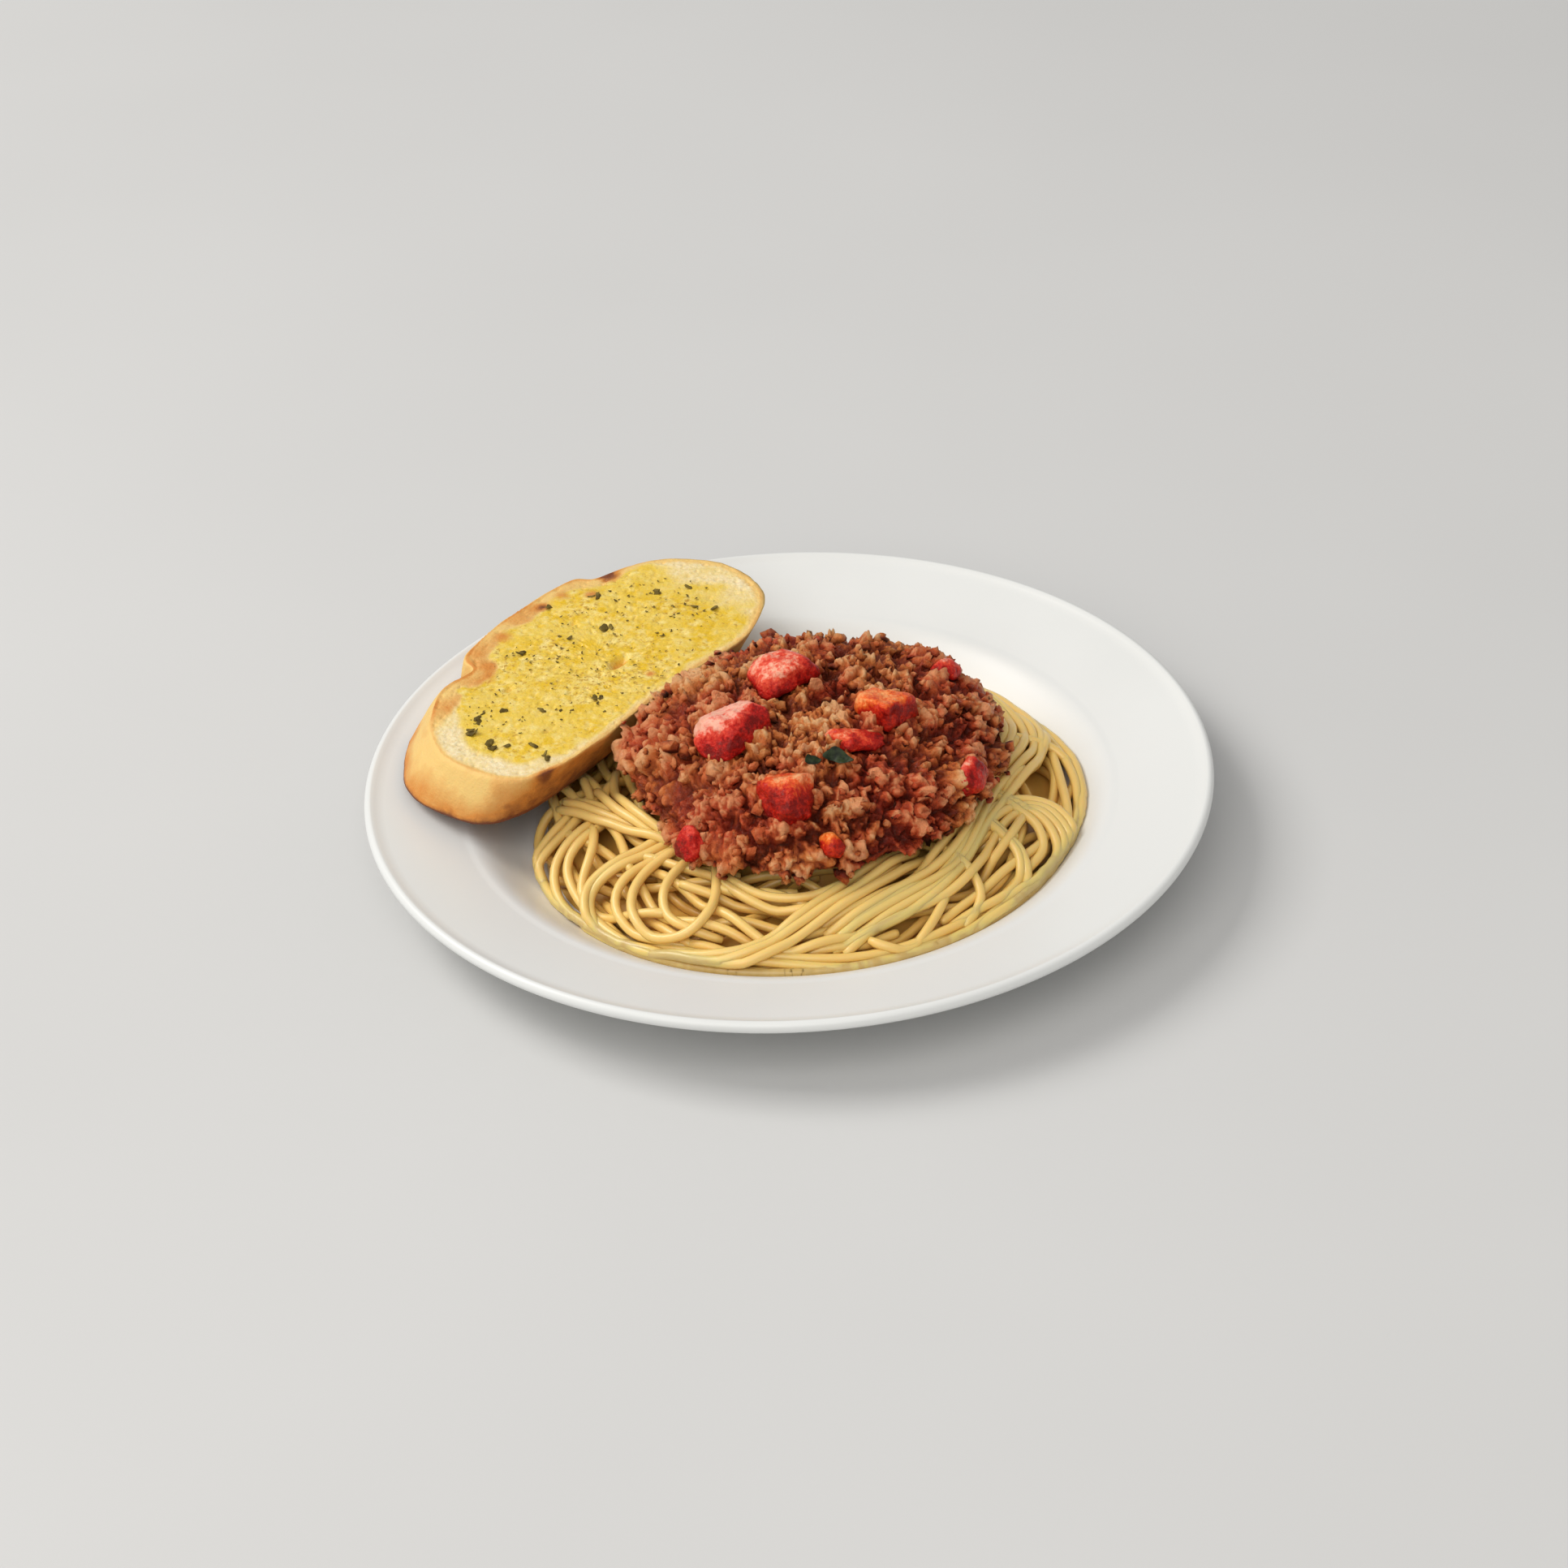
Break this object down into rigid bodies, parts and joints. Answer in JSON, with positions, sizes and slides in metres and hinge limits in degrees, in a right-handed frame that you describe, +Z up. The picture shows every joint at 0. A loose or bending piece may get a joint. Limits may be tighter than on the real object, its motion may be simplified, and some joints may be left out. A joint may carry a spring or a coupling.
{
  "type": "plate of spaghetti bolognese with garlic bread",
  "caption": "Round rimmed pasta plate holding a nest of spaghetti with a mound of meat sauce and tomato pieces, and a slice of garlic bread lying on the rim.",
  "frame": {"origin": "centre of the plate's foot, on the surface it stands on", "axes": "+Z up, -Y towards the eater, the bread on the -X +Y side"},
  "size_m": [0.25, 0.25, 0.0584],
  "materials": {
    "plate": "glossy white glaze",
    "pasta": "moist, satin",
    "meat_sauce": "wet, oily",
    "bread": "toasted crust and buttered crumb",
    "tomato": "wet",
    "herb": "dull green leaf"
  },
  "bodies": {
    "root": {"plate": "plate", "spaghetti": "pasta", "bolognese_sauce": "meat_sauce", "garlic_bread": "bread", "tomato_back": "tomato", "tomato_left": "tomato", "tomato_right": "tomato", "tomato_front": "tomato", "tomato_far_right": "tomato", "tomato_side": "tomato", "tomato_strip": "tomato", "tomato_low_left": "tomato", "tomato_low_front": "tomato"}
  },
  "joints": []
}
